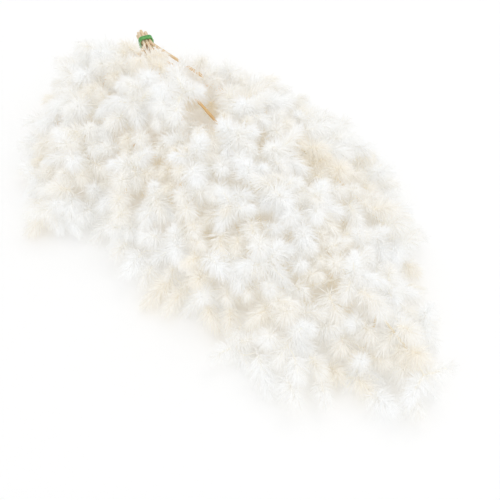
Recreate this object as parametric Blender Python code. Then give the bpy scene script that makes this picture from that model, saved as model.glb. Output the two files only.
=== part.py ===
"""Bleached ming fern bunch. Eight cut stems are bound by a rubber band and fan out along +X
into a mound of needle sprays that lies on the table. Metres, +Z up."""

import math
import random

import bmesh
import bpy
import numpy as np
from mathutils import Quaternion, Vector

for thing in list(bpy.data.objects):
    bpy.data.objects.remove(thing, do_unlink=True)

SEED = 11
GAP = 0.0003

# The bound end
TIE_HEIGHT = 0.052
STEM_RADIUS = 0.0020
STEM_TIP_RADIUS = 0.0012
STEM_PITCH = 2 * STEM_RADIUS + GAP
TIE_TO_FAN = 0.009
BAND_WIDTH = 0.0078
BAND_THICKNESS = 0.0016
BAND_TURNS = 3

# Each stem: heading in degrees, height halfway along, slot across, slot up, length left behind the tie
STEMS = (
    (-57, 0.066, -1.0, 1, 0.014),
    (-38, 0.040, -1.0, -1, 0.019),
    (-23, 0.056, -0.5, 0, 0.012),
    (-10, 0.074, 0.0, 1, 0.017),
    (-1, 0.036, 0.0, -1, 0.021),
    (9, 0.058, 0.5, 0, 0.015),
    (20, 0.074, 1.0, 1, 0.012),
    (30, 0.044, 1.0, -1, 0.018),
)

# The mound that the tufts fill: how far its edge is from the tie by heading, and the height of
# the tuft layer by share of that reach
HEADINGS = (-72, -62, -50, -40, -31, -20, -12, -7, -2, 4, 9.5, 13, 17, 22, 31, 38)
REACHES = (
    0.105, 0.165, 0.245, 0.302, 0.262, 0.332, 0.385, 0.475, 0.505, 0.545, 0.622, 0.570, 0.500, 0.435, 0.350, 0.262
)
SHARES = (0.0, 0.15, 0.3, 0.45, 0.6, 0.8, 0.92, 1.0)
HEIGHTS = (0.056, 0.092, 0.106, 0.102, 0.088, 0.060, 0.036, 0.016)
EDGE_HEIGHT = 0.016
SHOULDER = 0.075
TIE_SLOPE = 0.38
VALLEY = 0.012
BARE_LENGTH = 0.052

# Sprays, tufts and needles
SPRAYS = 43
SPARE_PLACES = 8
SPRAY_SPACING = 0.068
HUB_DEPTH = 0.012
TIP_TWIG = 0.030
WOODEN_SHARES = (0.0, 0.3, 0.6)
TWIG_SHARES = (0.6, 0.8, 1.0)
TIP_SHARES = (0.0, 0.5, 1.0)
STEM_STEPS = 8
CLEAR = 0.0008
BRANCH_RADIUS = 0.0014
TWIG_RADIUS = 0.0010
TUFTS = 3
BUD_LENGTH = 0.026
BUD_SIDES = 4
TUFT_STEP = 0.0022
BUD_SHARES = (0.0, 0.45, 0.59, 0.73, 0.88)
BUD_RADII = (0.0009, 0.0013, 0.0021, 0.0021, 0.0015)
NEEDLE = 0.0165
NEEDLE_ROOT = 0.0022

# Places where the lowest tufts lie on the table, round the weight, and how far they are pressed flat
FEET = ((0.06, -0.13), (0.14, 0.11), (0.54, 0.07), (0.22, -0.20), (0.36, 0.20))
FOOT_DEPTH = 0.0010

WOOD_COLOR = (0.62, 0.44, 0.24)
NEEDLE_COLOR = (0.90, 0.88, 0.80)
BAND_COLOR = (0.05, 0.42, 0.10)


def bezier(points, share):
    points = list(points)
    while len(points) > 1:
        points = [a.lerp(b, share) for a, b in zip(points, points[1:])]
    return points[0]


def tangent(points, share):
    return (bezier(points, min(share + 0.01, 1)) - bezier(points, max(share - 0.01, 0))).normalized()


def toward(heading):
    return Vector((math.cos(heading), math.sin(heading), 0))


def reach_at(heading):
    return float(np.interp(math.degrees(heading), HEADINGS, REACHES))


def crown_at(x, y):
    """Height of the tuft layer over a place on the table."""
    away = max(math.hypot(x, y), 1e-6)
    heading = math.atan2(y, x)
    share = min(away / reach_at(heading), 1)
    top = min(float(np.interp(share, SHARES, HEIGHTS)), TIE_HEIGHT + TIE_SLOPE * max(away - 0.03, 0))
    off = min(abs(heading - math.radians(s[0])) for s in STEMS) * away
    top -= VALLEY * min(off / 0.03, 1)
    side = min(heading - math.radians(HEADINGS[0]), math.radians(HEADINGS[-1]) - heading)
    inside = min(max(away * math.sin(min(max(side, 0), 1.5)) / SHOULDER, 0), 1)
    return EDGE_HEIGHT + max(top - EDGE_HEIGHT, 0) * math.sqrt(inside)


def outward_at(place):
    """Which way the foliage faces there: up off the mound and on from the tie."""
    step = 0.012
    slope_x = (crown_at(place.x + step, place.y) - crown_at(place.x - step, place.y)) / (2 * step)
    slope_y = (crown_at(place.x, place.y + step) - crown_at(place.x, place.y - step)) / (2 * step)
    out = Vector((-slope_x, -slope_y, 1)).normalized() + Vector((place.x, place.y, 0)).normalized() * 0.75
    if place.z < 0.03:
        out.z = max(out.z, 0) * 0.4
    return out.normalized()


def clearance(rod, others):
    """Least distance between one tapering rod and many; a rod is start, end and two radii."""
    a, b = np.array(rod[:3]), np.array(rod[3:6])
    c, d = others[:, 0:3], others[:, 3:6]
    u, v, w = b - a, d - c, a - c
    uu, uv, vv = u @ u, v @ u, np.einsum("ij,ij->i", v, v)
    uw, vw = w @ u, np.einsum("ij,ij->i", v, w)
    den = np.maximum(uu * vv - uv * uv, 1e-16)
    s = np.clip((uv * vw - vv * uw) / den, 0, 1)
    t = np.clip((uv * s + vw) / vv, 0, 1)
    s = np.clip((uv * t - uw) / uu, 0, 1)
    apart = np.linalg.norm(w + s[:, None] * u - t[:, None] * v, axis=1)
    apart -= rod[6] + (rod[7] - rod[6]) * s
    return float((apart - others[:, 6] - (others[:, 7] - others[:, 6]) * t).min())


def rods(points, first, last):
    """Rods along a path that thins from one radius to the other."""
    n = len(points) - 1
    width = [first + (last - first) * i / n for i in range(n + 1)]
    return [(*points[i], *points[i + 1], width[i], width[i + 1]) for i in range(n)]


def stem_rods(route):
    return rods([bezier(route, k / STEM_STEPS) for k in range(STEM_STEPS + 1)], STEM_RADIUS, STEM_TIP_RADIUS)


def stem_start(stem):
    return Vector((0, stem[2] * STEM_PITCH, TIE_HEIGHT + stem[3] * STEM_PITCH * 0.866))


def stem_route(stem):
    heading = math.radians(stem[0])
    start = stem_start(stem) + Vector((TIE_TO_FAN, 0, 0))
    reach = reach_at(heading) * 0.88
    tip = toward(heading) * reach
    tip.z = crown_at(tip.x, tip.y) - 0.008
    lift = (8 * stem[1] - start.z - tip.z) / 6
    near = start + toward(heading * 0.3) * min(reach * 0.3, 0.07)
    far = tip - toward(heading * 1.05) * reach * 0.35
    near.z = start.z + (lift - start.z) * 0.8
    far.z = lift
    return [start, near, far, tip]


def spray_places(ends, draw):
    """Spray hubs spread evenly over the mound, those at the stem tips first."""
    places = list(ends)
    spacing = SPRAY_SPACING
    while len(places) < SPRAYS + SPARE_PLACES:
        for _ in range(260):
            heading = math.radians(draw.uniform(HEADINGS[0] + 4, HEADINGS[-1] - 2))
            away = reach_at(heading) * math.sqrt(draw.uniform(0, 0.985))
            place = toward(heading) * away
            place.z = crown_at(place.x, place.y)
            if away < BARE_LENGTH:
                continue
            if min((place - other).length for other in places) > spacing:
                places.append(place)
        spacing *= 0.96
    return places


def branch_to(hub, out, routes, taken, owner, load):
    """The shortest clear path to a spray's hub that leaves a stem at a forward angle."""
    choices = []
    for i, route in enumerate(routes):
        for station in range(1, 20):
            root, along = bezier(route, station / 20), tangent(route, station / 20)
            span = hub - root
            lean = span.normalized().dot(along)
            cost = span.length + 0.02 * (1 - lean) + 0.004 * load[i]
            cost += (0.3 if lean < 0.25 else 0) + (0.4 if span.length < 0.024 else 0)
            path = [root, root + along * span.length * 0.35 + span * 0.1, hub - out * span.length * 0.3, hub]
            choices.append((cost, i, path))
    choices.sort(key=lambda c: c[:2])
    for cost, i, path in choices:
        line = rods([bezier(path, s) for s in WOODEN_SHARES + TWIG_SHARES[1:]], BRANCH_RADIUS, TWIG_RADIUS)
        if min(rod[5] for rod in line) < 0.005:
            continue
        others = np.array([t for t, o in zip(taken, owner) if o != i])
        same = np.array([t for t, o in zip(taken, owner) if o == i])
        if min(clearance(rod, others) for rod in line) > CLEAR and min(clearance(rod, same) for rod in line[1:]) > CLEAR:
            return i, path, line
    return None


def tuft_ends(hub, out, roll, lean):
    """Axes of a spray's tufts, set round the way it faces."""
    side = out.orthogonal().normalized()
    ends = []
    for k in range(TUFTS):
        spread = side.copy()
        spread.rotate(Quaternion(out, roll + math.tau * k / TUFTS))
        tip = hub + (out * lean[k] + spread).normalized() * BUD_LENGTH
        tip.z = max(tip.z, 0.008)
        ends.append(hub + (tip - hub).normalized() * BUD_LENGTH)
    return ends


def plan():
    """The skeleton: stem routes, and each spray's stem, path from it and tuft tips."""
    draw = random.Random(SEED)
    routes = [stem_route(s) for s in STEMS]
    taken, owner = [], []
    for i, route in enumerate(routes):
        taken += stem_rods(route)
        owner += [i] * STEM_STEPS
    load = [0] * len(STEMS)
    sprays, tips = [], []
    places = spray_places([r[3] + tangent(r, 1) * TIP_TWIG for r in routes], draw)
    for n, place in enumerate(places):
        out = outward_at(place)
        hub = place - out * HUB_DEPTH
        hub.z = max(hub.z, 0.011)
        if n < len(STEMS):
            along = tangent(routes[n], 1)
            out = (along + out * 0.5).normalized()
            i, path = n, [routes[n][3], routes[n][3] + along * 0.016, hub]
            line = rods([bezier(path, s) for s in TIP_SHARES], STEM_TIP_RADIUS, TWIG_RADIUS)
        else:
            found = branch_to(hub, out, routes, taken, owner, load)
            if found is None or len(sprays) == SPRAYS:
                continue
            i, path, line = found
        best = None
        crowd = np.array(taken[: -1 if n < len(STEMS) else None])
        for _ in range(40):
            ends = tuft_ends(hub, out, draw.uniform(0, math.tau), [draw.uniform(0.55, 0.85) for _ in range(TUFTS)])
            buds = [(*hub, *end, 0.0012, 0.0022) for end in ends]
            near = min([(a - b).length for a in ends for b in tips] + [0.04])
            clear = min(clearance(bud, crowd) for bud in buds)
            if clear > CLEAR and (best is None or near + clear > best[0]):
                best = (near + clear, ends, buds)
        if best is None:
            continue
        wooden = 0 if n < len(STEMS) else 2
        taken += line + best[2]
        owner += [i] * wooden + [100 + n] * (len(line) - wooden + TUFTS)
        load[i] += 1
        tips += best[1]
        sprays.append({"stem": i, "path": path, "hub": hub, "tips": best[1], "on_tip": n < len(STEMS)})
    for x, y in FEET:
        spot = Vector((x, y, 0))
        near = min((t for s in sprays for t in s["tips"] if t.z < 0.022), key=lambda t: (t - spot).length)
        near.z = -FOOT_DEPTH
    return routes, sprays


def frame_along(points, first, last):
    """Square axes at each point of a path, carried on without twisting."""
    ways = [first]
    for a, b, c in zip(points, points[1:], points[2:]):
        ways.append((c - a).normalized())
    ways.append(last)
    side = ways[0].orthogonal().normalized()
    frames = []
    for way in ways:
        side = (side - way * side.dot(way)).normalized()
        frames.append((side, way.cross(side)))
    return frames


def tube(points, radii, sides, first, last, pointed=False, twist=0.0):
    """A closed rod with a flat start and a flat or pointed end, and its rings of corners."""
    shape = bmesh.new()
    rings = []
    for k, (point, radius, (u, v)) in enumerate(zip(points, radii, frame_along(points, first, last))):
        if pointed and k == len(points) - 1:
            rings.append([shape.verts.new(point)])
            continue
        turn = [math.tau * (j + twist * k) / sides for j in range(sides)]
        rings.append([shape.verts.new(point + (u * math.cos(t) + v * math.sin(t)) * radius) for t in turn])
    shape.faces.new(list(reversed(rings[0])))
    for low, high in zip(rings, rings[1:]):
        for j in range(sides):
            k = (j + 1) % sides
            if len(high) == 1:
                shape.faces.new((low[j], low[k], high[0]))
            else:
                shape.faces.new((low[j], low[k], high[j]))
                shape.faces.new((low[k], high[k], high[j]))
    if not pointed:
        shape.faces.new(rings[-1])
    return shape, rings


def bud(root, tip, lead=()):
    """A tuft's slim core, at the end of its twig if it has a lead, and the faces needles grow from."""
    axis = (tip - root).normalized()
    points = [*lead] + [root.lerp(tip, s) for s in BUD_SHARES[bool(lead):]] + [tip]
    radii = [TWIG_RADIUS] * len(lead) + [*BUD_RADII[bool(lead):], 0]
    first = (lead[1] - lead[0]).normalized() if lead else axis
    shape, rings = tube(points, radii, BUD_SIDES, first, axis, pointed=True, twist=0.5)
    if tip.z < 0:
        everything = shape.verts[:] + shape.edges[:] + shape.faces[:]
        bmesh.ops.bisect_plane(shape, geom=everything, plane_co=(0, 0, 0), plane_no=(0, 0, -1), clear_outer=True)
        bmesh.ops.contextual_create(shape, geom=[e for e in shape.edges if e.is_boundary])
        bmesh.ops.triangulate(shape, faces=[f for f in shape.faces if len(f.verts) > 3])
    shape.normal_update()
    hold = root.lerp(tip, BUD_SHARES[1] * 0.9)
    bearing = [
        f for f in shape.faces
        if min((v.co - hold).dot(axis) for v in f.verts) > 0 and not all(abs(v.co.z) < 1e-7 for v in f.verts)
    ]
    return shape, bearing, axis


def twig_points(spray):
    """The pale twig of a spray: it carries on from the flat end of its branch, a hair's gap off."""
    path = spray["path"]
    shares = TIP_SHARES if spray["on_tip"] else TWIG_SHARES
    points = [bezier(path, s) for s in shares]
    points[0] = points[0] + tangent(path, shares[0]) * GAP
    return points


def place_needles(sprays, routes):
    """Grows needles from every bud; each is turned or shortened until it is clear of all the rest."""
    draw = random.Random(SEED + 1)
    taken = np.zeros((9000, 8))
    kin = np.full(9000, -1)
    count = 0

    def take(rows, number):
        nonlocal count
        for row in rows:
            taken[count], kin[count] = row, number
            count += 1

    for i, route in enumerate(routes):
        take(stem_rods(route), -1)
        start = stem_start(STEMS[i])
        take(rods([start - Vector((0.02, 0, 0)), route[0]], STEM_RADIUS + BAND_THICKNESS, STEM_RADIUS), -1)
    buds = []
    for spray in sprays:
        shares = TIP_SHARES if spray["on_tip"] else WOODEN_SHARES + TWIG_SHARES[1:]
        take(rods([bezier(spray["path"], s) for s in shares], BRANCH_RADIUS, TWIG_RADIUS), -1)
        spray["buds"] = []
        lead = twig_points(spray)
        onward = (lead[2] - lead[1]).normalized()
        spray["tips"].sort(key=lambda t: -(t - spray["hub"]).normalized().dot(onward))
        for k, tip in enumerate(spray["tips"]):
            root = spray["hub"] - onward * TUFT_STEP * k
            shape, bearing, axis = bud(root, tip, () if k else lead)
            spray["buds"].append(shape)
            take([(*root, *tip, 0.0012, 0.0022)], len(buds))
            buds.append((shape, bearing, axis))
    sites = [(n, k) for n, b in enumerate(buds) for k in range(len(b[1]))]
    draw.shuffle(sites)
    grown = [[None] * len(b[1]) for b in buds]
    for n, k in sites:
        shape, bearing, axis = buds[n]
        root = bearing[k].calc_center_median()
        sweep = (bearing[k].normal + axis * draw.uniform(0.35, 0.65) + Vector((0, 0, -0.06))).normalized()
        for attempt in range(24):
            wander = Vector([draw.uniform(-1, 1) for _ in range(3)]) * (0.10 + 0.02 * attempt)
            length = NEEDLE * draw.uniform(0.94, 1.06) * (1, 0.86, 0.68, 0.5)[attempt // 6]
            tip = root + (sweep + wander).normalized() * length
            tip.z = max(tip.z, 0.0006)
            middle = np.array((root + tip) / 2)
            near = np.linalg.norm((taken[:count, :3] + taken[:count, 3:6]) / 2 - middle, axis=1)
            reach = np.linalg.norm(taken[:count, :3] - taken[:count, 3:6], axis=1) / 2
            close = near - reach < length / 2 + 0.004
            others = taken[:count][close & (kin[:count] != n)]
            sisters = [t for t in grown[n] if t is not None]
            if sisters and min((tip - t).length for t in sisters) < 0.0016:
                continue
            if len(others) and clearance((*root, *tip, NEEDLE_ROOT, 0), others) < 0.0004:
                continue
            grown[n][k] = tip
            take([(*root, *tip, NEEDLE_ROOT, 0)], n)
            break
    for (shape, bearing, axis), tips in zip(buds, grown):
        for face, tip in zip(bearing, tips):
            if tip is not None:
                bmesh.ops.poke(shape, faces=[face])["verts"][0].co = tip


def make_object(shape, name, collection=None):
    mesh = bpy.data.meshes.new(name)
    bmesh.ops.triangulate(shape, faces=[f for f in shape.faces if len(f.verts) > 3])
    shape.to_mesh(mesh)
    shape.free()
    thing = bpy.data.objects.new(name, mesh)
    (collection or bpy.context.scene.collection).objects.link(thing)
    return thing


def fuse(name, body, joined):
    """One solid out of a body and the shapes that grow from it."""
    parts = bpy.data.collections.new(name + "_parts")
    bpy.context.scene.collection.children.link(parts)
    thing = make_object(body, name)
    for k, shape in enumerate(joined):
        make_object(shape, f"{name}_part_{k}", parts)
    union = thing.modifiers.new("union", "BOOLEAN")
    union.operation, union.solver = "UNION", "MANIFOLD"
    union.operand_type, union.collection = "COLLECTION", parts
    bpy.context.view_layer.update()
    made = bpy.data.meshes.new_from_object(thing.evaluated_get(bpy.context.evaluated_depsgraph_get()))
    thing.modifiers.clear()
    thing.data = made
    for part in list(parts.objects):
        bpy.data.objects.remove(part, do_unlink=True)
    bpy.data.collections.remove(parts)
    return thing


def paint(thing, color, roughness):
    skin = bpy.data.materials.new(thing.name)
    skin.use_nodes = True
    shader = skin.node_tree.nodes["Principled BSDF"]
    shader.inputs["Base Color"].default_value = (*color, 1)
    shader.inputs["Roughness"].default_value = roughness
    thing.data.materials.clear()
    thing.data.materials.append(skin)
    if roughness < 0.7:
        thing.data.shade_smooth()
        thing.data.set_sharp_from_angle(angle=math.radians(60))


def stem_shape(stem, route):
    start = stem_start(stem)
    ahead = Vector((1, 0, 0))
    steps = [k / STEM_STEPS for k in range(STEM_STEPS + 1)]
    points = [start - ahead * (BAND_WIDTH / 2 + stem[4])] + [bezier(route, s) for s in steps]
    radii = [STEM_RADIUS] + [STEM_RADIUS + (STEM_TIP_RADIUS - STEM_RADIUS) * s for s in steps]
    return tube(points, radii, 6, ahead, tangent(route, 1))[0]


def branch_shape(path):
    points = [bezier(path, s) for s in WOODEN_SHARES]
    radii = [BRANCH_RADIUS, (BRANCH_RADIUS + TWIG_RADIUS) / 2, TWIG_RADIUS]
    return tube(points, radii, 4, tangent(path, 0), tangent(path, WOODEN_SHARES[-1]))[0]


def band_shape():
    """The rubber band: turns side by side, drawn round the outside of the packed stems."""
    shape = bmesh.new()
    outer = [(i / (2 * BAND_TURNS) - 0.5, 1.0 if i % 2 else 0.5) for i in range(2 * BAND_TURNS + 1)]
    section = [(-0.5, 0.0)] + outer + [(0.5, 0.0)]
    rings = []
    for j in range(16):
        turn = math.tau * (j + 0.5) / 16
        way = Vector((0, math.cos(turn), math.sin(turn)))
        corner = max((stem_start(s) for s in STEMS), key=lambda p: round(p.dot(way), 7))
        base = corner + way * (STEM_RADIUS + GAP)
        rings.append([
            shape.verts.new(base + way * BAND_THICKNESS * high + Vector((BAND_WIDTH * along, 0, 0)))
            for along, high in section
        ])
    for j in range(16):
        here, there = rings[j], rings[(j + 1) % 16]
        for k in range(len(section)):
            m = (k + 1) % len(section)
            shape.faces.new((here[k], there[k], there[m], here[m]))
    bmesh.ops.recalc_face_normals(shape, faces=shape.faces)
    return shape


routes, sprays = plan()
place_needles(sprays, routes)

nodes = [make_object(band_shape(), "tie_band")]
paint(nodes[0], BAND_COLOR, 0.35)
for i, (stem, route) in enumerate(zip(STEMS, routes)):
    branches = [branch_shape(s["path"]) for s in sprays if s["stem"] == i and not s["on_tip"]]
    nodes.append(fuse(f"stem_{i + 1}", stem_shape(stem, route), branches))
    paint(nodes[-1], WOOD_COLOR, 0.6)
numbers = [0] * len(STEMS)
for spray in sprays:
    numbers[spray["stem"]] += 1
    name = f"spray_{spray['stem'] + 1}_{numbers[spray['stem']]}"
    nodes.append(fuse(name, spray["buds"][0], spray["buds"][1:]))
    paint(nodes[-1], NEEDLE_COLOR, 0.8)

# The overall box is centred on the origin, and the feet stay on the table
corners = [v.co for node in nodes for v in node.data.vertices]
middle = Vector([(min(c[k] for c in corners) + max(c[k] for c in corners)) / 2 for k in range(2)] + [0])
for node in nodes:
    for vertex in node.data.vertices:
        vertex.co -= middle
    node.data.update()
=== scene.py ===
import math
import random
from collections import namedtuple

import bmesh
import bpy
import numpy as np
from mathutils import Matrix, Quaternion, Vector
from mathutils import noise as perlin


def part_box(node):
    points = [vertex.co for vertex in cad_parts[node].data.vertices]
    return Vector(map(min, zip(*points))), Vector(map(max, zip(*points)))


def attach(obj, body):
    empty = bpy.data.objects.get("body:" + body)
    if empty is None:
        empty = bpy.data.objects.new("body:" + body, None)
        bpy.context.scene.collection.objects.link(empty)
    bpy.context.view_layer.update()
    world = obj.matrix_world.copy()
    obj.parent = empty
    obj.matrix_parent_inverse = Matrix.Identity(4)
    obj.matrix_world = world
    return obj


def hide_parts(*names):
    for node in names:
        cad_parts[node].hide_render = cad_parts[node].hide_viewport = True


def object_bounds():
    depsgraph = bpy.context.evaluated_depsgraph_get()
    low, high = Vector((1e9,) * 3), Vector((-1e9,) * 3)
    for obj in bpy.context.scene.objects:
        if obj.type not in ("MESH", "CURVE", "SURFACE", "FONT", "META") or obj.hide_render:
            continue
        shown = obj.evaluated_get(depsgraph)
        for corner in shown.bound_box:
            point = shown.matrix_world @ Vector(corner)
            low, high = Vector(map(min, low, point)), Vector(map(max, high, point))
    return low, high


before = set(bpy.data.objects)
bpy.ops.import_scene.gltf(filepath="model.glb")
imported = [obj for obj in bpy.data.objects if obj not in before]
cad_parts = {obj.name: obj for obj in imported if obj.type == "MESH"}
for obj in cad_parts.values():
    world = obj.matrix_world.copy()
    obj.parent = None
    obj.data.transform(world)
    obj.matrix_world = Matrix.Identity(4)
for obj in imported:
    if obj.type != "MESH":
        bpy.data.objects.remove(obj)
cad_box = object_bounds()

# Stems: eight cut fern stems of dry tan wood with a thin ribbed bark. They lie packed side by side
# where the band binds them, then fan out under the foliage and send off side branches at a
# forward angle. Each is one grown piece, cut straight across at its lower end.

SEED = 11
GAP = 0.0003
TIE_HEIGHT = 0.052
STEM_RADIUS = 0.0020
STEM_TIP_RADIUS = 0.0012
STEM_PITCH = 2 * STEM_RADIUS + GAP
ROW_RISE = 0.866
TIE_TO_FAN = 0.009
BAND_WIDTH = 0.0078

Stem = namedtuple("Stem", "heading height across up tail")

# Each stem's heading in degrees, height halfway along, slots across and up in the tie, and the
# length of its tail behind the tie
STEMS = (
    Stem(-57, 0.066, -1.0, 1, 0.014),
    Stem(-38, 0.040, -1.0, -1, 0.019),
    Stem(-23, 0.056, -0.5, 0, 0.012),
    Stem(-10, 0.074, 0.0, 1, 0.017),
    Stem(-1, 0.036, 0.0, -1, 0.021),
    Stem(9, 0.058, 0.5, 0, 0.015),
    Stem(20, 0.074, 1.0, 1, 0.012),
    Stem(30, 0.044, 1.0, -1, 0.018),
)

# A stem's course: the share of the mound's reach that it has, the depth of its tip in the mound,
# and the turn, length and lift of the two controls that bend it
STEM_REACH = 0.88
STEM_TIP_DEPTH = 0.008
NEAR_TURN = 0.3
NEAR_SHARE = 0.3
NEAR_LONGEST = 0.07
NEAR_LIFT = 0.8
FAR_TURN = 1.05
FAR_SHARE = 0.35
TANGENT_STEP = 0.01

# The mound that the tufts fill: how far its edge is from the tie by heading, and the height of
# the tuft layer by share of that reach
HEADINGS = (-72, -62, -50, -40, -31, -20, -12, -7, -2, 4, 9.5, 13, 17, 22, 31, 38)
REACHES = (
    0.105, 0.165, 0.245, 0.302, 0.262, 0.332, 0.385, 0.475,
    0.505, 0.545, 0.622, 0.570, 0.500, 0.435, 0.350, 0.262,
)
SHARES = (0.0, 0.15, 0.3, 0.45, 0.6, 0.8, 0.92, 1.0)
HEIGHTS = (0.056, 0.092, 0.106, 0.102, 0.088, 0.060, 0.036, 0.016)
EDGE_HEIGHT = 0.016
SHOULDER = 0.075
SIDE_TURN = 1.5
TIE_SLOPE = 0.38
TIE_SLOPE_START = 0.03
VALLEY = 0.012
VALLEY_WIDTH = 0.03
LOW_PLACE = 0.03
LOW_TILT = 0.4
LEAST_AWAY = 1e-6

# Places for the sprays, spread over the mound
SPRAYS = 43
SPARE_PLACES = 8
SPRAY_SPACING = 0.068
CLOSER = 0.96
PLACES_TRIED = 260
LEFT_MARGIN = 4
RIGHT_MARGIN = 2
EDGE_SHARE = 0.985
NEAREST_SPRAY = 0.052
SPRAY_ONWARD = 0.75
HUB_DEPTH = 0.012
LOWEST_HUB = 0.011

# A branch and its twig: the shares of the path that are wood and twig, their thickness, what makes
# a path costly, and how it leaves the stem and comes to the hub
WOODEN_SHARES = (0.0, 0.3, 0.6)
TWIG_SHARES = (0.6, 0.8, 1.0)
BRANCH_RADIUS = 0.0014
TWIG_RADIUS = 0.0010
STEM_STEPS = 8
SPRAY_OWNER = 100
CLEAR = 0.0008
PARALLEL = 1e-16
STATIONS = 20
LEAN_COST = 0.02
LOAD_COST = 0.004
BACKWARD_COST = 0.3
LEAST_LEAN = 0.25
SHORT_COST = 0.4
SHORTEST_BRANCH = 0.024
LOWEST_BRANCH = 0.005
LEAVE_ALONG = 0.35
LEAVE_STRAIGHT = 0.1
ARRIVE_ALONG = 0.3

# A stem's own tip, and the tufts of each spray
TIP_TWIG = 0.030
TIP_STRAIGHT = 0.016
TIP_OUTWARD = 0.5
TIP_SHARES = (0.0, 0.5, 1.0)
TUFTS = 3
BUD_LENGTH = 0.026
BUD_FOOT_RADIUS = 0.0012
BUD_TIP_RADIUS = 0.0022
LOWEST_TIP = 0.008
TUFT_LEANS = (0.55, 0.85)
ROLLS_TRIED = 40
FAR_ENOUGH = 0.04


def bezier(points, share):
    points = list(points)
    while len(points) > 1:
        points = [a.lerp(b, share) for a, b in zip(points, points[1:])]
    return points[0]


def tangent(points, share):
    ahead = bezier(points, min(share + TANGENT_STEP, 1))
    return (ahead - bezier(points, max(share - TANGENT_STEP, 0))).normalized()


def toward(heading):
    return Vector((math.cos(heading), math.sin(heading), 0))


def by_heading(heading, headings, values):
    return float(np.interp(math.degrees(heading), headings, values))


def reach_at(heading):
    return by_heading(heading, HEADINGS, REACHES)


def valley_at(heading, away):
    """How much lower the foliage lies between the stems than over them."""
    off = min(abs(heading - math.radians(stem.heading)) for stem in STEMS) * away
    return VALLEY * min(off / VALLEY_WIDTH, 1)


def inside_by(turn, away, shoulder):
    """How far a place is inside one side of the mound, in shares of that side's shoulder."""
    return away * math.sin(min(max(turn, 0), SIDE_TURN)) / shoulder


def crown_at(x, y):
    """Height of the sprays' layer over a place on the table."""
    away = max(math.hypot(x, y), LEAST_AWAY)
    heading = math.atan2(y, x)
    share = min(away / reach_at(heading), 1)
    near_tie = TIE_HEIGHT + TIE_SLOPE * max(away - TIE_SLOPE_START, 0)
    top = min(float(np.interp(share, SHARES, HEIGHTS)), near_tie)
    top -= valley_at(heading, away)
    side = min(heading - math.radians(HEADINGS[0]), math.radians(HEADINGS[-1]) - heading)
    inside = min(inside_by(side, away, SHOULDER), 1)
    return EDGE_HEIGHT + max(top - EDGE_HEIGHT, 0) * math.sqrt(inside)


def facing(place, height_at, onward):
    """Which way the foliage faces there: up off the mound and on from the tie."""
    step = 0.012
    slope_x = (height_at(place.x + step, place.y) - height_at(place.x - step, place.y)) / (2 * step)
    slope_y = (height_at(place.x, place.y + step) - height_at(place.x, place.y - step)) / (2 * step)
    from_tie = Vector((place.x, place.y, 0)).normalized()
    out = Vector((-slope_x, -slope_y, 1)).normalized() + from_tie * onward
    if place.z < LOW_PLACE:
        out.z = max(out.z, 0) * LOW_TILT
    return out.normalized()


def clearance(rod, others):
    """Least distance between one tapering rod and many; a rod is start, end and two radii."""
    a, b = np.array(rod[:3]), np.array(rod[3:6])
    c, d = others[:, 0:3], others[:, 3:6]
    u, v, w = b - a, d - c, a - c
    uu, uv, vv = u @ u, v @ u, np.einsum("ij,ij->i", v, v)
    uw, vw = w @ u, np.einsum("ij,ij->i", v, w)
    den = np.maximum(uu * vv - uv * uv, PARALLEL)
    s = np.clip((uv * vw - vv * uw) / den, 0, 1)
    t = np.clip((uv * s + vw) / vv, 0, 1)
    s = np.clip((uv * t - uw) / uu, 0, 1)
    apart = np.linalg.norm(w + s[:, None] * u - t[:, None] * v, axis=1)
    apart -= rod[6] + (rod[7] - rod[6]) * s
    return float((apart - others[:, 6] - (others[:, 7] - others[:, 6]) * t).min())


def rods(points, first, last):
    """Rods along a path that thins from one radius to the other."""
    n = len(points) - 1
    width = [first + (last - first) * i / n for i in range(n + 1)]
    return [(*points[i], *points[i + 1], width[i], width[i + 1]) for i in range(n)]


def stem_rods(route):
    points = [bezier(route, k / STEM_STEPS) for k in range(STEM_STEPS + 1)]
    return rods(points, STEM_RADIUS, STEM_TIP_RADIUS)


def stem_start(stem):
    return Vector((0, stem.across * STEM_PITCH, TIE_HEIGHT + stem.up * STEM_PITCH * ROW_RISE))


def stem_route(stem):
    """A cubic curve from the tie to the stem's tip, about as high halfway as the stem's height."""
    heading = math.radians(stem.heading)
    start = stem_start(stem) + Vector((TIE_TO_FAN, 0, 0))
    reach = reach_at(heading) * STEM_REACH
    tip = toward(heading) * reach
    tip.z = crown_at(tip.x, tip.y) - STEM_TIP_DEPTH
    # Halfway, such a curve is an eighth of its ends and three eighths of its controls
    lift = (8 * stem.height - start.z - tip.z) / 6
    near = start + toward(heading * NEAR_TURN) * min(reach * NEAR_SHARE, NEAR_LONGEST)
    far = tip - toward(heading * FAR_TURN) * reach * FAR_SHARE
    near.z = start.z + (lift - start.z) * NEAR_LIFT
    far.z = lift
    return [start, near, far, tip]


def spray_places(ends, draw):
    """Places of the sprays, spread evenly over the mound, those at the stem tips first."""
    places = list(ends)
    spacing = SPRAY_SPACING
    while len(places) < SPRAYS + SPARE_PLACES:
        for _ in range(PLACES_TRIED):
            heading = math.radians(draw.uniform(HEADINGS[0] + LEFT_MARGIN, HEADINGS[-1] - RIGHT_MARGIN))
            away = reach_at(heading) * math.sqrt(draw.uniform(0, EDGE_SHARE))
            place = toward(heading) * away
            place.z = crown_at(place.x, place.y)
            if away < NEAREST_SPRAY:
                continue
            if min((place - other).length for other in places) > spacing:
                places.append(place)
        spacing *= CLOSER
    return places


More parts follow.
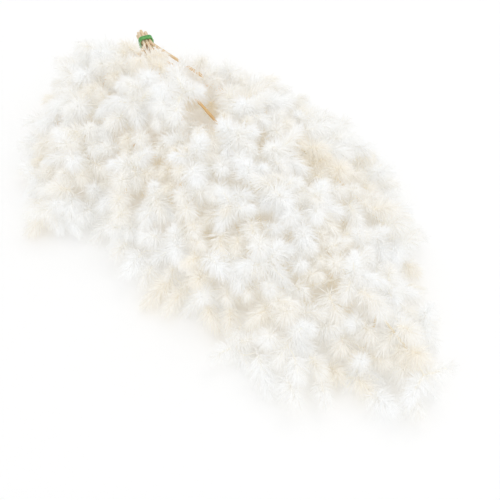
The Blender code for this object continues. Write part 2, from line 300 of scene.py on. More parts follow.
def branch_to(hub, out, routes, taken, owner, load):
    """The shortest clear path to a spray's hub that leaves a stem at a forward angle."""
    choices = []
    for i, route in enumerate(routes):
        for station in range(1, STATIONS):
            root, along = bezier(route, station / STATIONS), tangent(route, station / STATIONS)
            span = hub - root
            lean = span.normalized().dot(along)
            backward = BACKWARD_COST if lean < LEAST_LEAN else 0
            short = SHORT_COST if span.length < SHORTEST_BRANCH else 0
            cost = span.length + LEAN_COST * (1 - lean) + LOAD_COST * load[i]
            cost += backward + short
            leave = root + along * span.length * LEAVE_ALONG + span * LEAVE_STRAIGHT
            arrive = hub - out * span.length * ARRIVE_ALONG
            choices.append((cost, i, [root, leave, arrive, hub]))
    choices.sort(key=lambda c: c[:2])
    for cost, i, path in choices:
        points = [bezier(path, s) for s in WOODEN_SHARES + TWIG_SHARES[1:]]
        line = rods(points, BRANCH_RADIUS, TWIG_RADIUS)
        if min(rod[5] for rod in line) < LOWEST_BRANCH:
            continue
        others = np.array([t for t, o in zip(taken, owner) if o != i])
        same = np.array([t for t, o in zip(taken, owner) if o == i])
        room = [clearance(rod, others) for rod in line] + [clearance(rod, same) for rod in line[1:]]
        if min(room) > CLEAR:
            return i, path, line
    return None


def tuft_ends(hub, out, roll, lean):
    """Tips of a spray's tufts, set round the way it faces."""
    side = out.orthogonal().normalized()
    ends = []
    for k in range(TUFTS):
        spread = side.copy()
        spread.rotate(Quaternion(out, roll + math.tau * k / TUFTS))
        tip = hub + (out * lean[k] + spread).normalized() * BUD_LENGTH
        tip.z = max(tip.z, LOWEST_TIP)
        ends.append(hub + (tip - hub).normalized() * BUD_LENGTH)
    return ends


def plan():
    """The skeleton: stem routes, and each spray's stem, path from it and tuft tips."""
    draw = random.Random(SEED)
    routes = [stem_route(s) for s in STEMS]
    taken, owner = [], []
    for i, route in enumerate(routes):
        taken += stem_rods(route)
        owner += [i] * STEM_STEPS
    load = [0] * len(STEMS)
    sprays, tips = [], []
    places = spray_places([r[3] + tangent(r, 1) * TIP_TWIG for r in routes], draw)
    for n, place in enumerate(places):
        on_tip = n < len(STEMS)
        out = facing(place, crown_at, SPRAY_ONWARD)
        hub = place - out * HUB_DEPTH
        hub.z = max(hub.z, LOWEST_HUB)
        if on_tip:
            along = tangent(routes[n], 1)
            out = (along + out * TIP_OUTWARD).normalized()
            i, path = n, [routes[n][3], routes[n][3] + along * TIP_STRAIGHT, hub]
            line = rods([bezier(path, s) for s in TIP_SHARES], STEM_TIP_RADIUS, TWIG_RADIUS)
        else:
            found = branch_to(hub, out, routes, taken, owner, load)
            if found is None or len(sprays) == SPRAYS:
                continue
            i, path, line = found
        best = None
        crowd = np.array(taken[:-1] if on_tip else taken)
        for _ in range(ROLLS_TRIED):
            roll = draw.uniform(0, math.tau)
            lean = [draw.uniform(*TUFT_LEANS) for _ in range(TUFTS)]
            ends = tuft_ends(hub, out, roll, lean)
            buds = [(*hub, *end, BUD_FOOT_RADIUS, BUD_TIP_RADIUS) for end in ends]
            near = min([(a - b).length for a in ends for b in tips] + [FAR_ENOUGH])
            clear = min(clearance(bud, crowd) for bud in buds)
            if clear > CLEAR and (best is None or near + clear > best[0]):
                best = (near + clear, ends, buds)
        if best is None:
            continue
        wooden = 0 if on_tip else len(WOODEN_SHARES) - 1
        taken += line + best[2]
        owner += [i] * wooden + [SPRAY_OWNER + n] * (len(line) - wooden + TUFTS)
        load[i] += 1
        tips += best[1]
        sprays.append({"stem": i, "path": path, "hub": hub, "out": out, "tips": best[1], "on_tip": on_tip})
    return routes, sprays


routes, sprays = plan()
tie_low, tie_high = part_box("tie_band")
tie_centre = (Vector(tie_low) + Vector(tie_high)) / 2
to_row = Matrix.Translation((tie_centre.x, tie_centre.y, 0))


def frames_along(points):
    """Axes square to a path at each of its points, carried on without twisting."""
    ways = [(b - a).normalized() for a, b in zip(points, points[1:])]
    ways = [ways[0]] + [(a + b).normalized() for a, b in zip(ways, ways[1:])] + [ways[-1]]
    side = ways[0].orthogonal().normalized()
    frames = []
    for way, point in zip(ways, points):
        side = (side - way * side.dot(way)).normalized()
        turn = Matrix((side, way.cross(side), way)).transposed().to_4x4()
        frames.append(Matrix.Translation(point) @ turn)
    return frames


def sweep(shape, points, radii, sides):
    """A closed round rod along a path: a capped circle is extruded from point to point."""
    frames = frames_along(points)
    circle = bmesh.ops.create_circle(shape, cap_ends=True, segments=sides, radius=1)["verts"]
    cap = circle[0].link_faces[0]
    bmesh.ops.transform(shape, matrix=frames[0] @ Matrix.Scale(radii[0], 4), verts=circle)
    for last, this, before, radius in zip(frames, frames[1:], radii, radii[1:]):
        grown = bmesh.ops.extrude_face_region(shape, geom=[cap])["geom"]
        ring = [g for g in grown if isinstance(g, bmesh.types.BMVert)]
        cap = [g for g in grown if isinstance(g, bmesh.types.BMFace)][0]
        move = this @ Matrix.Scale(radius / before, 4) @ last.inverted()
        bmesh.ops.transform(shape, matrix=move, verts=ring)


def as_mesh(shape, name):
    mesh = bpy.data.meshes.new(name)
    shape.to_mesh(mesh)
    shape.free()
    return mesh


def finish_piece(shape, name, material, slot, *nodes, smooth=True):
    """Makes the piece's object in the row frame, and hides the imported parts that it stands for."""
    bmesh.ops.recalc_face_normals(shape, faces=shape.faces)
    mesh = as_mesh(shape, name)
    if smooth:
        mesh.shade_smooth()
    piece = bpy.data.objects.new(name, mesh)
    bpy.context.scene.collection.objects.link(piece)
    mesh.transform(to_row)
    mesh.materials.append(material)
    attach(piece, "root")
    if nodes:
        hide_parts(*nodes)
    return piece


class Socket:
    """A shader value that can be written in sums; each sum becomes a Math node."""

    def __init__(self, tree, link):
        self.tree = tree
        self.link = link

    def node(self, kind, settings=(), out=0, **values):
        """A node of any kind; i0 is its first socket, and a socket's name has _ for a space."""
        made = self.tree.nodes.new(kind)
        for name, value in dict(settings).items():
            setattr(made, name, value)
        for name, value in values.items():
            numbered = name[1:].isdigit()
            socket = made.inputs[int(name[1:]) if numbered else name.replace("_", " ")]
            if isinstance(value, Socket):
                self.tree.links.new(value.link, socket)
            else:
                socket.default_value = value
        return Socket(self.tree, made.outputs[out])

    def math(self, operation, a, b=0.0, clamp=False):
        return self.node("ShaderNodeMath", {"operation": operation, "use_clamp": clamp}, i0=a, i1=b)

    def __add__(self, other):
        return self.math("ADD", self, other)

    def __radd__(self, other):
        return self.math("ADD", other, self)

    def __sub__(self, other):
        return self.math("SUBTRACT", self, other)

    def __rsub__(self, other):
        return self.math("SUBTRACT", other, self)

    def __mul__(self, other):
        return self.math("MULTIPLY", self, other)

    def __rmul__(self, other):
        return self.math("MULTIPLY", other, self)

    def clamped(self):
        return self.math("ADD", self, 0.0, clamp=True)

    def ramp(self, low, high):
        return self.node("ShaderNodeMapRange", i0=self, i1=low, i2=high, i3=0.0, i4=1.0)

    def mix(self, first, second):
        """The first colour where this value is 0, and the second where it is 1."""
        a, b = (c if isinstance(c, Socket) else (*c, 1) for c in (first, second))
        settings = {"data_type": "RGBA", "clamp_factor": True}
        return self.node("ShaderNodeMix", settings, out=2, i0=self, i6=a, i7=b)


def new_material(name, roughness, **fixed):
    """A Principled material, its object coordinates and a setter for its varying sockets."""
    material = bpy.data.materials.new(name)
    material.use_nodes = True
    tree = material.node_tree
    shader = tree.nodes["Principled BSDF"]
    shader.inputs["Roughness"].default_value = roughness
    for socket, value in fixed.items():
        shader.inputs[socket.replace("_", " ")].default_value = value
    place = Socket(tree, None).node("ShaderNodeTexCoord", out="Object")

    def drive(socket, value):
        tree.links.new(value.link, shader.inputs[socket])

    return material, place, drive


def grain(place, scale, stretch=(1, 1, 1), detail=3.0):
    spot = place.node("ShaderNodeMapping", i0=place, i3=stretch)
    return place.node("ShaderNodeTexNoise", Vector=spot, Scale=scale, Detail=detail)


# Bark: fibres of a dark and a pale tan run along it. It is dull at the tie, golden a little
# further out, and bleached in patches, then all over, deep in the foliage.
DULL_TAN = ((0.78, 0.58, 0.36), (0.90, 0.77, 0.58))
GOLDEN_TAN = ((0.86, 0.55, 0.24), (0.93, 0.69, 0.38))
BLEACHED_BARK = (0.94, 0.88, 0.74)
FIBRE_SCALE = 260.0
FIBRE_STRETCH = (0.12, 1, 1)
PATCH_SCALE = 24.0

bark, place, drive = new_material("dry_bark", roughness=0.62)
fibre = grain(place, FIBRE_SCALE, FIBRE_STRETCH, detail=4.0)
patch = grain(place, PATCH_SCALE)
from_tie = place.node("ShaderNodeSeparateXYZ", Vector=place) - tie_centre.x
golden = from_tie.ramp(0.03, 0.09)
dark, pale = (golden.mix(dull, bright) for dull, bright in zip(DULL_TAN, GOLDEN_TAN))
tan = fibre.ramp(0.35, 0.7).mix(dark, pale)
bleached = (from_tie.ramp(0.15, 0.28) + (patch.ramp(0.4, 0.7) - 0.6) * 0.4).clamped()
drive("Base Color", bleached.mix(tan, BLEACHED_BARK))
drive("Normal", place.node("ShaderNodeBump", Strength=0.35, Distance=0.0002, Height=fibre))

STEM_SEED = SEED + 20
BARK_RINGS = 46
STEM_SIDES = 10
CUT_BEVEL = 0.0006
CUT_RADIUS = STEM_RADIUS * 0.93
BEFORE_FAN = 0.003
KNOT = 0.00018
KNOT_EVERY = 6
FIRST_KNOT = 3
BARK_UNEVEN = 0.00006
BRANCH_FLARE = 1.35
BRANCH_RINGS = 7
BRANCH_SIDES = 8

for i, (stem, route) in enumerate(zip(STEMS, routes)):
    shape = bmesh.new()
    cut = stem_start(stem) - Vector((BAND_WIDTH / 2 + stem.tail, 0, 0))
    points = [cut, cut + Vector((CUT_BEVEL, 0, 0)), route[0] - Vector((BEFORE_FAN, 0, 0))]
    points += [bezier(route, k / BARK_RINGS) for k in range(BARK_RINGS + 1)]
    steps = [0, 0, 0] + [k / BARK_RINGS for k in range(BARK_RINGS + 1)]
    draw = random.Random(STEM_SEED + i)
    radii = []
    for k, s in enumerate(steps):
        radius = STEM_RADIUS + (STEM_TIP_RADIUS - STEM_RADIUS) * s
        radius += KNOT if k % KNOT_EVERY == FIRST_KNOT else 0
        radii.append(radius + draw.uniform(-BARK_UNEVEN, BARK_UNEVEN))
    radii[0] = CUT_RADIUS
    sweep(shape, points, radii, STEM_SIDES)
    for spray in sprays:
        if spray["stem"] == i and not spray["on_tip"]:
            shares = [WOODEN_SHARES[-1] * k / BRANCH_RINGS for k in range(BRANCH_RINGS + 1)]
            flare = [
                BRANCH_RADIUS + (TWIG_RADIUS - BRANCH_RADIUS) * k / BRANCH_RINGS
                for k in range(BRANCH_RINGS + 1)
            ]
            flare[0] = BRANCH_RADIUS * BRANCH_FLARE
            sweep(shape, [bezier(spray["path"], s) for s in shares], flare, BRANCH_SIDES)
    finish_piece(shape, f"stem_{i + 1}_wood", bark, "stem", f"stem_{i + 1}")

# Tie: one green rubber band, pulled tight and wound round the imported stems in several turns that
# lie side by side and ride up on each other a little. Glossy moulded rubber.

BAND_TURNS = 3
TURN_POINTS = 40
STRAND_RADIUS = 0.0011
STRAND_SIDES = 10
RIDE_UP = 0.0003
RIDES = 2.3
DARK_RUBBER = (0.05, 0.34, 0.07)
PALE_RUBBER = (0.20, 0.56, 0.16)
RUBBER_SCALE = 320.0
CORNER_DIGITS = 7

rubber, place, drive = new_material(
    "green_rubber", roughness=0.28, Coat_Weight=0.35, Coat_Roughness=0.12
)
drive("Base Color", grain(place, RUBBER_SCALE).ramp(0.3, 0.7).mix(DARK_RUBBER, PALE_RUBBER))

shape = bmesh.new()
outline = []
for j in range(TURN_POINTS):
    turn = math.tau * j / TURN_POINTS
    way = Vector((0, math.cos(turn), math.sin(turn)))
    corner = max((stem_start(s) for s in STEMS), key=lambda p: round(p.dot(way), CORNER_DIGITS))
    outline.append((corner + way * (STEM_RADIUS + STRAND_RADIUS + GAP / 2), way))
points = []
for k in range(BAND_TURNS * TURN_POINTS + 1):
    base, way = outline[k % TURN_POINTS]
    share = k / (BAND_TURNS * TURN_POINTS)
    along = (share - 0.5) * (BAND_WIDTH - 2 * STRAND_RADIUS)
    ride_up = RIDE_UP * math.sin(share * math.tau * RIDES)
    points.append(base + way * (ride_up + RIDE_UP) + Vector((along, 0, 0)))
sweep(shape, points, [STRAND_RADIUS] * len(points), STRAND_SIDES)
finish_piece(shape, "green_band_wound", rubber, "tie", "tie_band")

# Sprays: thin pale twigs with pom-pom tufts of fine needles, bleached to a creamy white. The
# needles are dry, matt and slightly see-through, warm cream at their roots, partly as their own
# colour and partly as painted shade in the tufts' cores. The folds and the deep tufts have a
# warmer painted shade, the open tufts a cooler painted light. Each spray grows from the end of a
# stem or of a side branch.

# Light passes on among white needles more often than the render follows it, so a faint glow
# stands for the rest. It is warm deep in the foliage.
GLOW = 0.052
DEEP_GLOW = (1.0, 0.91, 0.72)
OPEN_GLOW = (0.98, 0.99, 1.0)
# Painted shade and painted light: the white of the deep, shaded tufts and of the open, lit ones
SHADED_WHITE = (0.958, 0.908, 0.81)
LIT_WHITE = (0.974, 0.980, 0.985)
DULL_CREAM = (0.885, 0.868, 0.838)
# The needles' own warm cream at their roots, also used as painted shade in the cores of the tufts
ROOT_CREAM_AND_SHADE = (0.955, 0.917, 0.835)
TWIG_CREAM = (0.955, 0.932, 0.875)
CLOUD_SCALE = 30.0


def attribute(place, name):
    return place.node("ShaderNodeAttribute", {"attribute_name": name}, out=2)


foliage, place, drive = new_material("bleached_needles", roughness=0.7, Emission_Strength=GLOW)
foliage.cycles.emission_sampling = "NONE"
along = attribute(place, "along")
painted_light = attribute(place, "painted_light")
twig = attribute(place, "twig")
shade = attribute(place, "shade")
cloud = grain(place, CLOUD_SCALE)
# Painted light and shade: each tuft's value turns its needles from the warm shaded white to the cool lit
# white; the cloud noise adds random tone
white = (painted_light * 0.8 + cloud * 0.4).ramp(0.1, 0.9).mix(SHADED_WHITE, LIT_WHITE)
# Cream needles at random, fewer of them in the tufts with more painted light
cream = (shade - painted_light * 0.15).ramp(0.45, 0.95).mix(white, DULL_CREAM)
# Roots in warm cream, partly their own colour and partly painted shade in each tuft's core; more painted
# light makes them whiter
root = (along + painted_light * 0.2).ramp(-0.08, 0.4).mix(ROOT_CREAM_AND_SHADE, cream)
drive("Base Color", twig.mix(root, TWIG_CREAM))
drive("Emission Color", painted_light.mix(DEEP_GLOW, OPEN_GLOW))

NEEDLE_LENGTH = 0.0215
NEEDLE_WIDTH = 0.00088
NEEDLE_RADIUS = NEEDLE_WIDTH * 0.55
NEEDLE_BEND = 0.0034
BEND_SHARE = 0.45
NEEDLE_SIZES = (0.72, 1.08)
NEEDLE_WIDTHS = (0.8, 1.15)
TIP_SHRINK = 0.12


def add_layers(shape):
    # One of these layers holds each tuft's painted light and shade
    for name in ("along", "painted_light", "twig", "shade"):
        shape.verts.layers.float.new(name)


def mark(shape, name, value):
    layer = shape.verts.layers.float[name]
    for v in shape.verts:
        v[layer] = value


def needle_mesh(bent):
    """A three-sided needle along +Z; a bent one is widest at its bend and leans to +X."""
    shape = bmesh.new()
    add_layers(shape)
    widest = NEEDLE_LENGTH * (BEND_SHARE if bent else 0)
    middle = Matrix.Translation((0, 0, (NEEDLE_LENGTH + widest) / 2))
    bmesh.ops.create_cone(
        shape, cap_ends=True, segments=3, radius1=NEEDLE_RADIUS, radius2=0,
        depth=NEEDLE_LENGTH - widest, matrix=middle,
    )
    if bent:
        base = min(shape.faces, key=lambda f: f.normal.z)
        bmesh.ops.poke(shape, faces=[base])["verts"][0].co.z = 0
    layer = shape.verts.layers.float["along"]
    for v in shape.verts:
        share = v.co.z / NEEDLE_LENGTH
        v[layer] = share
        v.co.x += NEEDLE_BEND * share * share if bent else 0
    return as_mesh(shape, "needle")


bent_needle = needle_mesh(True)
straight_needle = needle_mesh(False)


def add_copy(shape, model, matrix, layer, value):
    """Adds a copy of a model to a shape, with one value of a layer all over it."""
    copy = model.copy()
    copy.transform(matrix)
    copy.attributes[layer].data.foreach_set("value", [value] * len(copy.vertices))
    shape.from_mesh(copy)
    bpy.data.meshes.remove(copy)


# A tuft: its shoot, the angles of the needles at its foot and tip, and how much they stray
BURST_SEED = SEED + 100
BURSTS = 9
DEEP_BURSTS = 4
BENT_NEEDLES = 140
STRAIGHT_NEEDLES = 190
DEEP_NEEDLES = 250
SHOOT_LENGTH = 0.018
SHOOT_LENGTHS = (0.7, 1.4)
SHOOT_WIDTH = 0.0010
SHOOT_SHARES = (-0.3, 0.3, 0.9)
SHOOT_RADII = (SHOOT_WIDTH * 0.5, SHOOT_WIDTH * 0.55, SHOOT_WIDTH * 0.25)
SHOOT_SIDES = 5
SHOOT_ALONG = 0.3
SHOOT_LEANS = (-0.25, 0.25)
FOOT_ANGLES = (62, 92)
TIP_ANGLES = (8, 18)
ANGLE_STRAYS = (-12, 12)
GOLDEN_ANGLE = math.radians(137.5)
TURN_STRAYS = (-0.3, 0.3)


def burst_mesh(number, bent, straight):
    """A short shoot along +Z with needles all round it, from a round pom-pom to a longer brush."""
    draw = random.Random(BURST_SEED + number)
    shape = bmesh.new()
    add_layers(shape)
    shoot = SHOOT_LENGTH * draw.uniform(*SHOOT_LENGTHS)
    foot_angle, tip_angle = draw.uniform(*FOOT_ANGLES), draw.uniform(*TIP_ANGLES)
    sweep(shape, [Vector((0, 0, shoot * s)) for s in SHOOT_SHARES], SHOOT_RADII, SHOOT_SIDES)
    mark(shape, "along", SHOOT_ALONG)
    lean = Vector((draw.uniform(*SHOOT_LEANS), draw.uniform(*SHOOT_LEANS), 0))
    for model, count in ((bent_needle, bent), (straight_needle, straight)):
        for k in range(count):
            share = (k + draw.random()) / count
            polar = foot_angle + (tip_angle - foot_angle) * share + draw.uniform(*ANGLE_STRAYS)
            size = draw.uniform(*NEEDLE_SIZES) * (1 - TIP_SHRINK * share)
            turn = Matrix.Rotation(k * GOLDEN_ANGLE + draw.uniform(*TURN_STRAYS), 4, "Z")
            roll = Matrix.Rotation(draw.uniform(0, math.tau), 4, "Z")
            widths = [draw.uniform(*NEEDLE_WIDTHS) for _ in range(2)]
            put = Matrix.Translation(Vector((0, 0, shoot * share)) + lean * shoot * share * share)
            put @= turn
            put @= Matrix.Rotation(math.radians(polar), 4, "Y") @ roll
            put @= Matrix.Diagonal((*widths, size, 1))
            add_copy(shape, model, put, "shade", draw.random())
    return as_mesh(shape, f"burst_{number}")


bursts = [burst_mesh(n, BENT_NEEDLES, STRAIGHT_NEEDLES) for n in range(BURSTS)]
deep_bursts = [burst_mesh(BURSTS + n, 0, DEEP_NEEDLES) for n in range(DEEP_BURSTS)]


def put_burst(shape, models, root, axis, size, painted_light_now, draw):
    """Adds one of the models to a shape, rolled about its axis."""
    roll = Matrix.Rotation(draw.uniform(0, math.tau), 4, "Z")
    turn = axis.to_track_quat("Z", "Y").to_matrix().to_4x4() @ roll
    put = Matrix.Translation(root) @ turn @ Matrix.Scale(size, 4)
    # All of the copy's points carry the tuft's painted light
    add_copy(shape, draw.choice(models), put, "painted_light", painted_light_now)


# How far needles droop, how softly they lie on the table, and how far past the solids' box they
# may reach
DROOP = 0.0050
TABLE_CUSHION = 0.003
SPARE_SHARE = 0.025
SOFT_EDGE = 0.006


def press(values, limit, give):
    """Values past the limit are drawn in softly, so that none is more than give beyond it."""
    over = values > limit
    values[over] = limit + give * (1 - np.exp((limit - values[over]) / give))


def settle(piece):
    """Needles droop a little to their tips, lie along the table and keep to the bunch's own size."""
    mesh = piece.data
    count = len(mesh.vertices)
    places, along = np.zeros(count * 3), np.zeros(count)
    mesh.vertices.foreach_get("co", places)
    mesh.attributes["along"].data.foreach_get("value", along)
    places = places.reshape(-1, 3)
    places[:, 2] -= DROOP * along * along
    for axis in range(3):
        low, high = cad_box[0][axis], cad_box[1][axis]
        spare = SPARE_SHARE * (high - low)
        give = min(spare, SOFT_EDGE)
        press(places[:, axis], high + spare - give, give)
        on_table = axis == 2
        places[:, axis] *= -1
        if on_table:
            press(places[:, axis], -TABLE_CUSHION, TABLE_CUSHION)
        else:
            press(places[:, axis], spare - give - low, give)
        places[:, axis] *= -1
    mesh.vertices.foreach_set("co", places.ravel())
    mesh.update()


# The foliage's edge: how far it is from the tie by heading
COVER_HEADINGS = (
    -110, -95, -85, -75, -65, -55, -47, -41, -37, -28, -22, -16, -10, -8,
    -5, -2, 2, 6, 9, 12, 16, 20, 24, 28, 32, 37, 42, 48,
)
COVER_REACHES = (
    0.045, 0.080, 0.108, 0.140, 0.178, 0.225, 0.268, 0.306, 0.311, 0.272, 0.330, 0.392, 0.402, 0.460,
    0.515, 0.535, 0.545, 0.585, 0.590, 0.552, 0.488, 0.455, 0.430, 0.395, 0.358, 0.312, 0.262, 0.180,
)


def cover_reach(heading):
    return by_heading(heading, COVER_HEADINGS, COVER_REACHES)


SPRAY_SEED = SEED + 500
PATH_RINGS = 5
TWIG_SIDES = 7
TUFT_TWIG_RADII = (TWIG_RADIUS * 0.8, TWIG_RADIUS * 0.7, TWIG_RADIUS * 0.5)
TUFT_TWIG_SIDES = 6
TUFT_TWIG_BOW = 0.001
TUFT_TWIG_END = 0.9
TUFT_ROOT = 0.15
TUFT_SIZES = (0.84, 1.04)
TUFT_PAINTED_LIGHTS = (0.75, 1)
PAST_EDGE = 0.005
PAST_EDGE_SIZE = 0.85

numbers = [0] * len(STEMS)
for n, spray in enumerate(sprays):
    draw = random.Random(SPRAY_SEED + n)
    numbers[spray["stem"]] += 1
    node = f"spray_{spray['stem'] + 1}_{numbers[spray['stem']]}"
    path, hub, out = spray["path"], spray["hub"], spray["out"]
    begin = 0 if spray["on_tip"] else WOODEN_SHARES[-1]
    shape = bmesh.new()
    add_layers(shape)
    points = [bezier(path, begin + (1 - begin) * k / PATH_RINGS) for k in range(PATH_RINGS + 1)]
    sweep(shape, points, [TWIG_RADIUS] * len(points), TWIG_SIDES)
    for tip in spray["tips"]:
        bend = hub.lerp(tip, 0.5) + out * TUFT_TWIG_BOW
        sweep(shape, [hub, bend, hub.lerp(tip, TUFT_TWIG_END)], TUFT_TWIG_RADII, TUFT_TWIG_SIDES)
    mark(shape, "twig", 1.0)
    for tip in spray["tips"]:
        axis = (tip - hub).normalized()
        # Painted light of a spray's tuft, high because the sprays lie on top
        size, painted_light_now = draw.uniform(*TUFT_SIZES), draw.uniform(*TUFT_PAINTED_LIGHTS)
        if math.hypot(tip.x, tip.y) > cover_reach(math.atan2(tip.y, tip.x)) + PAST_EDGE:
            size *= PAST_EDGE_SIZE
        put_burst(shape, bursts, hub + axis * BUD_LENGTH * TUFT_ROOT, axis, size, painted_light_now, draw)
    settle(finish_piece(shape, node + "_needles", foliage, "foliage", node, smooth=False))

# Side tufts: the rest of the foliage. Finer twigs leave the stems and twigs all along and end in
# the same pom-poms, which close the mound from the tie to its edge, with looser ones deep in it
# in a creamier painted shade. They are grown like the sprays, one piece for each stem.

# The cover that the outermost tufts make: its sides, its rise from the tie by heading, its lumps
LEFT_SHOULDER = 0.032
RIGHT_SHOULDER = 0.105
TIE_SLOPE_HEADINGS = (-60, -15, 10, 30)
TIE_SLOPE_STARTS = (0.024, 0.028, 0.062, 0.088)
UNDER_STEMS = (0.003, 0.005, 0.014, 0.016)
COVER_TIE_SLOPE = 2.0
COVER_ONWARD = 2.4
LUMP_HEIGHT = 0.016
LUMP_SIZE = 0.055

# Bare wood: by heading, how far from the tie the cover begins, and the tufts over a stem
BARE_HEADINGS = (-60, -30, -12, 5, 30)
BARE_LENGTHS = (0.010, 0.012, 0.019, 0.042, 0.064)
BARE_ABOVE_STEMS = (0.045, 0.052, 0.068, 0.078, 0.125)

# A hollow in the foliage where one stem shows, kept open along one line of sight
GLIMPSED_STEM = 5
GLIMPSE_SHARES = (0.33, 0.36, 0.39)
GLIMPSE_WAY = Vector((0.62, -0.25, 0.74)).normalized()
GLIMPSE_RADIUS = 0.026


def cover_at(x, y):
    """Height of the middles of the outermost tufts over a place on the table."""
    away = max(math.hypot(x, y), LEAST_AWAY)
    heading = math.atan2(y, x)
    share = min(away / cover_reach(heading), 1)
    rise_from = by_heading(heading, TIE_SLOPE_HEADINGS, TIE_SLOPE_STARTS)
    under = by_heading(heading, TIE_SLOPE_HEADINGS, UNDER_STEMS)
    near_tie = TIE_HEIGHT - under + COVER_TIE_SLOPE * max(away - rise_from, 0)
    top = min(float(np.interp(share, SHARES, HEIGHTS)), near_tie)
    top -= valley_at(heading, away)
    top += LUMP_HEIGHT * perlin.noise(Vector((x, y, 0)) / LUMP_SIZE)
    left = inside_by(heading - math.radians(COVER_HEADINGS[0]), away, LEFT_SHOULDER)
    right = inside_by(math.radians(COVER_HEADINGS[-1]) - heading, away, RIGHT_SHOULDER)
    inside = min(left, right, 1)
    return EDGE_HEIGHT + max(top - EDGE_HEIGHT, 0) * math.sqrt(inside)


# Where finer twigs may start: their stem, the place and the way that the wood runs there
PATH_STATIONS = 10
TUFT_TWIG_START = 0.4

starts = []
for spray in sprays:
    path, hub = spray["path"], spray["hub"]
    for share in (k / PATH_STATIONS for k in range(PATH_STATIONS + 1)):
        starts.append((spray["stem"], bezier(path, share), tangent(path, share)))
    for tip in spray["tips"]:
        starts.append((spray["stem"], hub.lerp(tip, TUFT_TWIG_START), (tip - hub).normalized()))
for i, route in enumerate(routes):
    for share in (k / STATIONS for k in range(1, STATIONS)):
        starts.append((i, bezier(route, share), tangent(route, share)))

FORWARD_PULL = 0.25
# A tuft's painted light: even, higher on the cover's lumps and lower, as painted shade, in its dips, never
# below the least
EVEN_LIGHT = 0.92
LUMP_LIGHT = 0.8
LEAST_LIGHT = 0.6


def add_tuft(spot, spacing, light):
    """Puts a tuft at a spot clear of the others and of the hollow, on the nearest twig or stem."""
    if min((spot - other).length for other in taken) < spacing:
        return False
    for bare in glimpses:
        above = max((spot - bare).dot(GLIMPSE_WAY), 0)
        if (spot - bare - GLIMPSE_WAY * above).length < GLIMPSE_RADIUS:
            return False
    taken.append(spot)

    def length_of_twig(begin):
        forward = (spot - begin[1]).normalized().dot(begin[2])
        return (begin[1] - spot).length * (1 + FORWARD_PULL - FORWARD_PULL * forward)

    owner, start, way = min(starts, key=length_of_twig)
    # Painted light on the lumps of the cover and painted shade in its dips
    lump = perlin.noise(Vector((spot.x, spot.y, 0)) / LUMP_SIZE)
    light *= min(max(EVEN_LIGHT + lump * LUMP_LIGHT, LEAST_LIGHT), 1.0)
    tufts.append((owner, start, way, spot, light))
    return True


PLACE_SEED = SEED + 7
STEM_TRIES = 40
BESIDE_STEM = (-0.006, 0.006)
ABOVE_STEM = (0.010, 0.016)
STEM_SPACING = 0.0165
TWIG_TUFTS = (0.3, 0.5, 0.7, 0.9)
ABOVE_TWIG = (0.008, 0.013)
TWIG_SPACING = 0.0150
TWIGS_FROM = 0.11
COVER_SLACK = 0.006
# Painted light of the tufts along the stems and twigs
WOOD_LIGHT = 0.8

# Layers of the mound from the top down: spacing, lowest and highest share of the cover's height,
# least height of the cover, and painted light: full on top, painted shade deep in the mound
LAYERS = (
    (0.0178, 0.86, 1.0, 0.0, 1.0),
    (0.0225, 0.66, 0.82, 0.034, 0.28),
    (0.027, 0.38, 0.58, 0.045, 0.0),
)
MOST_MISSES = 900
BARE_MISS = 0.2
EDGE_INSET = 0.006
LOWEST_TUFT = 0.010

draw = random.Random(PLACE_SEED)
taken = [tip for spray in sprays for tip in spray["tips"]]
tufts = []
glimpses = [bezier(routes[GLIMPSED_STEM], s) for s in GLIMPSE_SHARES]
for stem, route in zip(STEMS, routes):
    bare = by_heading(math.radians(stem.heading), BARE_HEADINGS, BARE_ABOVE_STEMS)
    for k in range(STEM_TRIES):
        spot = bezier(route, (k + draw.random()) / STEM_TRIES)
        spot += Vector((0, draw.uniform(*BESIDE_STEM), draw.uniform(*ABOVE_STEM)))
        if math.hypot(spot.x, spot.y) > bare:
            add_tuft(spot, STEM_SPACING, WOOD_LIGHT)
for spray in sprays:
    for share in TWIG_TUFTS:
        spot = bezier(spray["path"], share) + Vector((0, 0, draw.uniform(*ABOVE_TWIG)))
        covered = spray["on_tip"] or spot.z < cover_at(spot.x, spot.y) + COVER_SLACK
        if math.hypot(spot.x, spot.y) > TWIGS_FROM and covered:
            add_tuft(spot, TWIG_SPACING, WOOD_LIGHT)
for spacing, low, high, least, light in LAYERS:
    misses = 0
    while misses < MOST_MISSES:
        heading = math.radians(draw.uniform(COVER_HEADINGS[0], COVER_HEADINGS[-1]))
        away = (cover_reach(heading) - EDGE_INSET) * math.sqrt(draw.uniform(0, 1))
        spot = toward(heading) * away
        top = cover_at(spot.x, spot.y)
        spot.z = max(top * draw.uniform(low, high), LOWEST_TUFT)
        if away < by_heading(heading, BARE_HEADINGS, BARE_LENGTHS) or top < least:
            misses += BARE_MISS
        elif add_tuft(spot, spacing, light):
            misses = 0
        else:
            misses += 1

SIDE_SEED = SEED + 900
STRAY = 0.28
STRAY_UP = 0.2
AHEAD_WEIGHT = 0.5
WAY_WEIGHT = 0.5
TUFT_DEPTH = 0.014
LEAVE_SHARE = 0.25
ARRIVE_SHARE = 0.3
FINE_TWIG = 0.8
FINE_TWIG_THINS = 0.06
FINE_TWIG_SIDES = 5
SIDE_SIZES = (0.80, 1.16)
SIDE_PAINTED_LIGHTS = (0.78, 1)

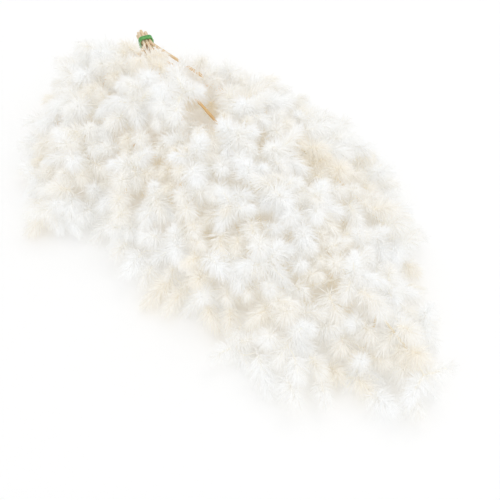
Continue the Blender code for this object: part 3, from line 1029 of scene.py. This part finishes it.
for i in range(len(STEMS)):
    draw = random.Random(SIDE_SEED + i)
    shape = bmesh.new()
    add_layers(shape)
    ends = []
    for owner, start, way, spot, light in tufts:
        if owner != i:
            continue
        ahead = (spot - start).normalized()
        stray = Vector((draw.gauss(0, STRAY), draw.gauss(0, STRAY), draw.gauss(0, STRAY_UP)))
        out = facing(spot, cover_at, COVER_ONWARD)
        axis = (ahead * AHEAD_WEIGHT + out + stray).normalized()
        end = spot - axis * TUFT_DEPTH
        reach = (end - start).length
        leave = start + (way * WAY_WEIGHT + ahead) * reach * LEAVE_SHARE
        line = [start, leave, end - axis * reach * ARRIVE_SHARE, end]
        points = [bezier(line, k / PATH_RINGS) for k in range(PATH_RINGS + 1)]
        radii = [TWIG_RADIUS * (FINE_TWIG - FINE_TWIG_THINS * k) for k in range(PATH_RINGS + 1)]
        sweep(shape, points, radii, FINE_TWIG_SIDES)
        ends.append((end, axis, light))
    mark(shape, "twig", 1.0)
    for end, axis, light in ends:
        # The tuft's painted light and shade, from its layer and a little at random
        size, painted_light_now = draw.uniform(*SIDE_SIZES), light * draw.uniform(*SIDE_PAINTED_LIGHTS)
        put_burst(shape, bursts if light else deep_bursts, end, axis, size, painted_light_now, draw)
    settle(finish_piece(shape, f"side_tufts_{i + 1}", foliage, "foliage", smooth=False))

# Table: a plain white surface, large enough to fill the view. It glows very faintly, so that it
# stays as white as in the photograph close to the foliage too.

TABLE_SIZE = 8
TABLE_GLOW = 0.05
TABLE_WHITES = ((0.98, 0.98, 0.98), (0.99, 0.99, 0.99))
TABLE_SCALE = 3.0

bpy.ops.mesh.primitive_plane_add(size=TABLE_SIZE)
table = bpy.context.object
table.name = "table"
paper, place, drive = new_material(
    "white_table", roughness=0.9, Emission_Color=(1, 1, 1, 1), Emission_Strength=TABLE_GLOW
)
drive("Base Color", grain(place, TABLE_SCALE).mix(*TABLE_WHITES))
table.data.materials.append(paper)

# Light: soft white light from all round, and one large weak lamp that makes it a little stronger
# from the far right.

WORLD_LIGHT = 0.935
LAMP_PLACE = Vector((-0.35, 0.9, 1.7))
LAMP_SIZE = 1.4
LAMP_POWER = 2

world = bpy.data.worlds.new("studio")
bpy.context.scene.world = world
world.use_nodes = True
world.node_tree.nodes["Background"].inputs["Color"].default_value = (1, 1, 1, 1)
world.node_tree.nodes["Background"].inputs["Strength"].default_value = WORLD_LIGHT

soft_box = bpy.data.lights.new("soft_box", "AREA")
soft_box.shape = "DISK"
soft_box.size = LAMP_SIZE
soft_box.energy = LAMP_POWER
lamp = bpy.data.objects.new("soft_box", soft_box)
lamp.location = LAMP_PLACE
lamp.rotation_euler = (-LAMP_PLACE).to_track_quat("-Z", "Y").to_euler()
bpy.context.scene.collection.objects.link(lamp)

# Camera: above the near side, looking back towards the tied end. Light may bounce twelve times,
# because the foliage is white and dense.

VIEW_AZIMUTH = math.radians(68)
VIEW_ELEVATION = math.radians(48)
VIEW_DISTANCE = 0.93
LENS = 66
LOOK_AT = Vector((0.082, -0.002, 0.040))
BOUNCES = 12

lens = bpy.data.cameras.new("camera")
lens.lens = LENS
camera = bpy.data.objects.new("camera", lens)
back = Vector((
    math.sin(VIEW_AZIMUTH) * math.cos(VIEW_ELEVATION),
    -math.cos(VIEW_AZIMUTH) * math.cos(VIEW_ELEVATION),
    math.sin(VIEW_ELEVATION),
))
camera.location = LOOK_AT + back * VIEW_DISTANCE
camera.rotation_euler = (-back).to_track_quat("-Z", "Y").to_euler()
bpy.context.scene.collection.objects.link(camera)
bpy.context.scene.camera = camera
bpy.context.scene.view_settings.view_transform = "Standard"
bpy.context.scene.cycles.max_bounces = BOUNCES
bpy.context.scene.cycles.diffuse_bounces = BOUNCES
